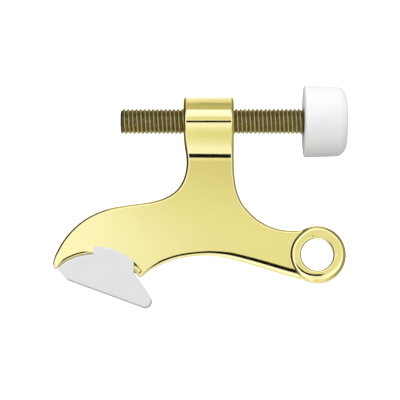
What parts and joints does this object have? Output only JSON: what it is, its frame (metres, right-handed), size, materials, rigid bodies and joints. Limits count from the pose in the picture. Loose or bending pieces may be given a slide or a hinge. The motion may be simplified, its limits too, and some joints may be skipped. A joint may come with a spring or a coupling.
{
  "type": "hinge pin door stop",
  "caption": "Hinge-pin door stop: cast brass-finish arm with an eye for the hinge pin, an adjusting screw with a white bumper, and a white pad that swivels on the nose.",
  "frame": {"origin": "centre of the eye's bore, at half the eye's thickness", "axes": "+Z along the hinge pin, up when the stop is fitted; +X along the adjusting screw towards the door bumper; +Y from the eye towards the screw's side of the arm"},
  "size_m": [0.0875, 0.0669, 0.0218],
  "materials": {
    "polished_brass": "mirror-polished brass plating on a zinc casting",
    "antique_brass": "dull dark brass on a rolled thread",
    "white_bumper": "smooth moulded white rubber",
    "white_pad": "matt moulded white rubber"
  },
  "bodies": {
    "arm": {"arm_casting": "polished_brass"},
    "bumper": {"door_bumper": "white_bumper"},
    "screw": {"adjusting_screw": "antique_brass"},
    "pad": {"nose_pad": "white_pad"}
  },
  "joints": [
    {"name": "screw_travel", "type": "slide", "parent": "arm", "child": "bumper", "axis": [1, 0, 0], "range_m": [-0.01875, 0.0175]},
    {"name": "screw_turn", "type": "hinge", "parent": "bumper", "child": "screw", "pos_m": [0, 0.0403, 0], "axis": [1, 0, 0], "range_deg": [-5400, 5040]},
    {"name": "pad_swivel", "type": "hinge", "parent": "arm", "child": "pad", "pos_m": [-0.066, -0.0161, 0], "axis": [0, 0, 1], "range_deg": [-14, 0]}
  ],
  "couplings": [
    {"joint": "screw_turn", "follows": "screw_travel", "rad_per_m": 5026.5}
  ]
}
